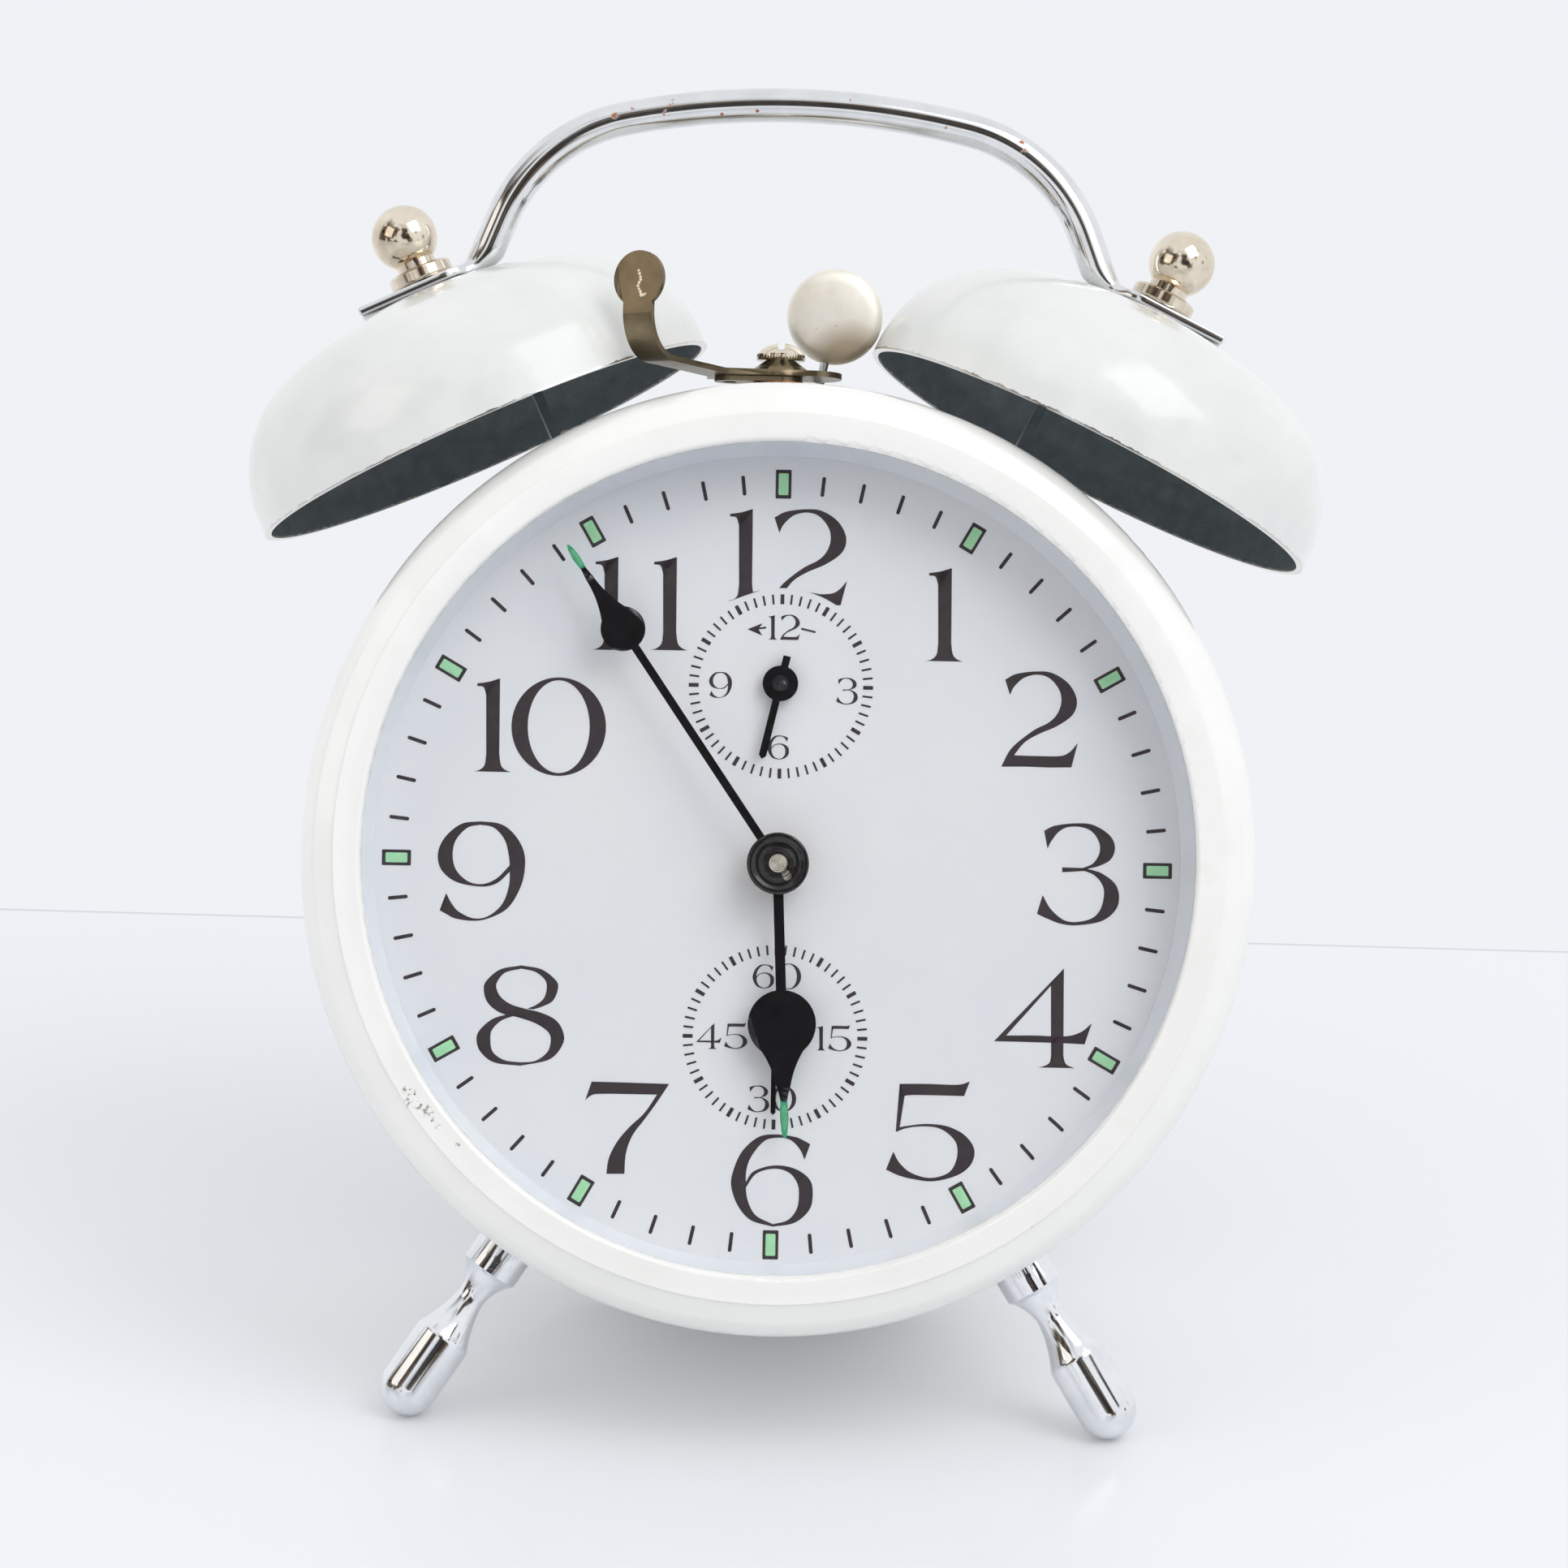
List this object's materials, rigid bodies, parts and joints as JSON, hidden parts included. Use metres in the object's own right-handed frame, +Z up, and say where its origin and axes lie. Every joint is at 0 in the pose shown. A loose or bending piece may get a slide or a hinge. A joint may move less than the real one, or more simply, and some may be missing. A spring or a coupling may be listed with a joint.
{
  "type": "mechanical alarm clock",
  "caption": "Wind-up alarm clock: round white case on splayed legs, bells and hammer on top under a carrying handle, numbered dial with alarm and seconds dials.",
  "frame": {"origin": "on the floor, midway across and midway front to back under the clock as it stands", "axes": "+Z up, +X to the right as seen from the front, the dial facing -Y and leaning back"},
  "size_m": [0.1346, 0.0964, 0.1542],
  "materials": {
    "white_enamel": "warm white stove enamel, gloss, with a few chips",
    "bell_enamel": "pearl white gloss enamel outside, dull dark grey-green inside",
    "cover_steel": "white enamel on pressed steel",
    "dark_steel": "dull dark paint on steel strip",
    "chrome": "bright chrome plate with a few rust specks",
    "nickel": "warm nickel plate",
    "copper": "bare copper",
    "steel": "plain turned steel",
    "spring_steel": "blued spring steel",
    "brass": "stamped clock brass",
    "glass": "clear flat glass",
    "dial_enamel": "cool white printed dial",
    "black_enamel": "gloss black enamel"
  },
  "bodies": {
    "root": {"case_shell": "white_enamel", "bezel": "white_enamel", "lens": "glass", "dial_ring": "white_enamel", "dial_plate": "dial_enamel", "back_cover": "cover_steel", "back_cover_screws": "nickel", "leg_left": "chrome", "bell_left": "bell_enamel", "bell_bracket_left": "dark_steel", "ball_nut_left": "nickel", "leg_right": "chrome", "bell_right": "bell_enamel", "bell_bracket_right": "dark_steel", "ball_nut_right": "nickel", "hexagon_nuts": "steel", "bell_studs": "nickel", "bracket_screws": "steel", "handle": "chrome", "lever_bush": "nickel", "lever_washer": "copper", "lever_tab": "nickel", "lever_screw": "nickel", "front_plate": "brass", "rear_plate": "brass", "pillars": "steel", "time_mainspring": "spring_steel", "alarm_mainspring": "spring_steel", "hairspring": "spring_steel"},
    "minute_train": {"centre_wheel": "brass", "cannon_pinion": "brass", "minute_hand": "black_enamel", "time_set_knob": "nickel"},
    "hour_train": {"hour_wheel": "brass", "hour_hand": "black_enamel"},
    "minute_wheel": {"minute_wheel": "brass"},
    "alarm_wheel": {"alarm_wheel": "brass"},
    "third": {"third_wheel": "brass"},
    "fourth": {"fourth_wheel": "brass", "seconds_hand": "black_enamel"},
    "escape": {"escape_wheel": "brass"},
    "time_great": {"time_great_wheel": "brass", "time_click": "steel"},
    "time_winding": {"time_winding_arbor": "steel", "time_key": "nickel"},
    "alarm_setting": {"alarm_arbor": "steel", "alarm_hand": "black_enamel", "alarm_set_knob": "nickel"},
    "alarm_great": {"alarm_great_wheel": "brass", "alarm_click": "steel"},
    "alarm_winding": {"alarm_winding_arbor": "steel", "alarm_key": "nickel"},
    "strike": {"strike_wheel": "brass"},
    "hammer": {"hammer_head": "nickel", "hammer_wire": "steel", "hammer_arbor": "steel"},
    "stop_lever": {"stop_lever": "nickel"},
    "balance": {"balance_wheel": "brass"},
    "pallets": {"pallet_fork": "steel"},
    "regulator": {"regulator_lever": "steel"}
  },
  "joints": [
    {"name": "minute_turn", "type": "hinge", "parent": "root", "child": "minute_train", "pos_m": [0, 0.00191, 0.05967], "axis": [0, 0.9483, -0.3174], "continuous": true},
    {"name": "hour_turn", "type": "hinge", "parent": "root", "child": "hour_train", "pos_m": [0, 0.00191, 0.05967], "axis": [0, 0.9483, -0.3174], "continuous": true},
    {"name": "minute_wheel_turn", "type": "hinge", "parent": "root", "child": "minute_wheel", "pos_m": [0.01191, -0.00019, 0.05339], "axis": [0, 0.9483, -0.3174], "continuous": true},
    {"name": "alarm_wheel_turn", "type": "hinge", "parent": "root", "child": "alarm_wheel", "pos_m": [-0.00034, 0.00883, 0.08034], "axis": [0, 0.9483, -0.3174], "continuous": true},
    {"name": "third_turn", "type": "hinge", "parent": "root", "child": "third", "pos_m": [0.00798, -0.00189, 0.04831], "axis": [0, 0.9483, -0.3174], "continuous": true},
    {"name": "fourth_turn", "type": "hinge", "parent": "root", "child": "fourth", "pos_m": [0.00033, -0.00478, 0.03967], "axis": [0, 0.9483, -0.3174], "continuous": true},
    {"name": "escape_turn", "type": "hinge", "parent": "root", "child": "escape", "pos_m": [-0.00894, -0.00654, 0.03441], "axis": [0, 0.9483, -0.3174], "continuous": true},
    {"name": "time_great_turn", "type": "hinge", "parent": "root", "child": "time_great", "pos_m": [-0.01972, 0.0042, 0.06652], "axis": [0, 0.9483, -0.3174], "continuous": true},
    {"name": "time_winding", "type": "hinge", "parent": "time_great", "child": "time_winding", "pos_m": [-0.01972, 0.0042, 0.06652], "axis": [0, 0.9483, -0.3174], "continuous": true},
    {"name": "alarm_setting", "type": "hinge", "parent": "root", "child": "alarm_setting", "pos_m": [-0.00034, 0.00883, 0.08034], "axis": [0, 0.9483, -0.3174], "continuous": true},
    {"name": "alarm_great_turn", "type": "hinge", "parent": "root", "child": "alarm_great", "pos_m": [0.02381, 0.00584, 0.07141], "axis": [0, 0.9483, -0.3174], "continuous": true},
    {"name": "alarm_winding", "type": "hinge", "parent": "alarm_great", "child": "alarm_winding", "pos_m": [0.02381, 0.00584, 0.07141], "axis": [0, 0.9483, -0.3174], "continuous": true},
    {"name": "strike_turn", "type": "hinge", "parent": "root", "child": "strike", "pos_m": [0.01111, 0.00966, 0.08283], "axis": [0, 0.9483, -0.3174], "continuous": true},
    {"name": "hammer_swing", "type": "hinge", "parent": "root", "child": "hammer", "pos_m": [-0.00058, 0.00872, 0.09641], "axis": [0, -0.9483, 0.3174], "range_deg": [0, 19.2]},
    {"name": "lever_turn", "type": "hinge", "parent": "root", "child": "stop_lever", "pos_m": [-0.0013, 0.00756, 0.12127], "axis": [0, 0.3174, 0.9483], "range_deg": [0, 20]},
    {"name": "balance_swing", "type": "hinge", "parent": "root", "child": "balance", "pos_m": [-0.02414, -0.00551, 0.0375], "axis": [0, 0.9483, -0.3174], "range_deg": [-130, 130]},
    {"name": "fork_swing", "type": "hinge", "parent": "root", "child": "pallets", "pos_m": [-0.01687, -0.00782, 0.03059], "axis": [0, 0.9483, -0.3174], "range_deg": [-5, 5]},
    {"name": "regulator_turn", "type": "hinge", "parent": "root", "child": "regulator", "pos_m": [-0.02414, -0.00551, 0.0375], "axis": [0, 0.9483, -0.3174], "range_deg": [-14, 14]}
  ],
  "couplings": [
    {"joint": "hour_turn", "follows": "minute_turn", "ratio": 0.083333},
    {"joint": "minute_wheel_turn", "follows": "minute_turn", "ratio": -0.33333},
    {"joint": "alarm_wheel_turn", "follows": "minute_turn", "ratio": -0.083333},
    {"joint": "third_turn", "follows": "minute_turn", "ratio": -8},
    {"joint": "fourth_turn", "follows": "minute_turn", "ratio": 60},
    {"joint": "escape_turn", "follows": "minute_turn", "ratio": -480},
    {"joint": "time_great_turn", "follows": "minute_turn", "ratio": -0.16667},
    {"joint": "strike_turn", "follows": "alarm_great_turn", "ratio": -6}
  ]
}
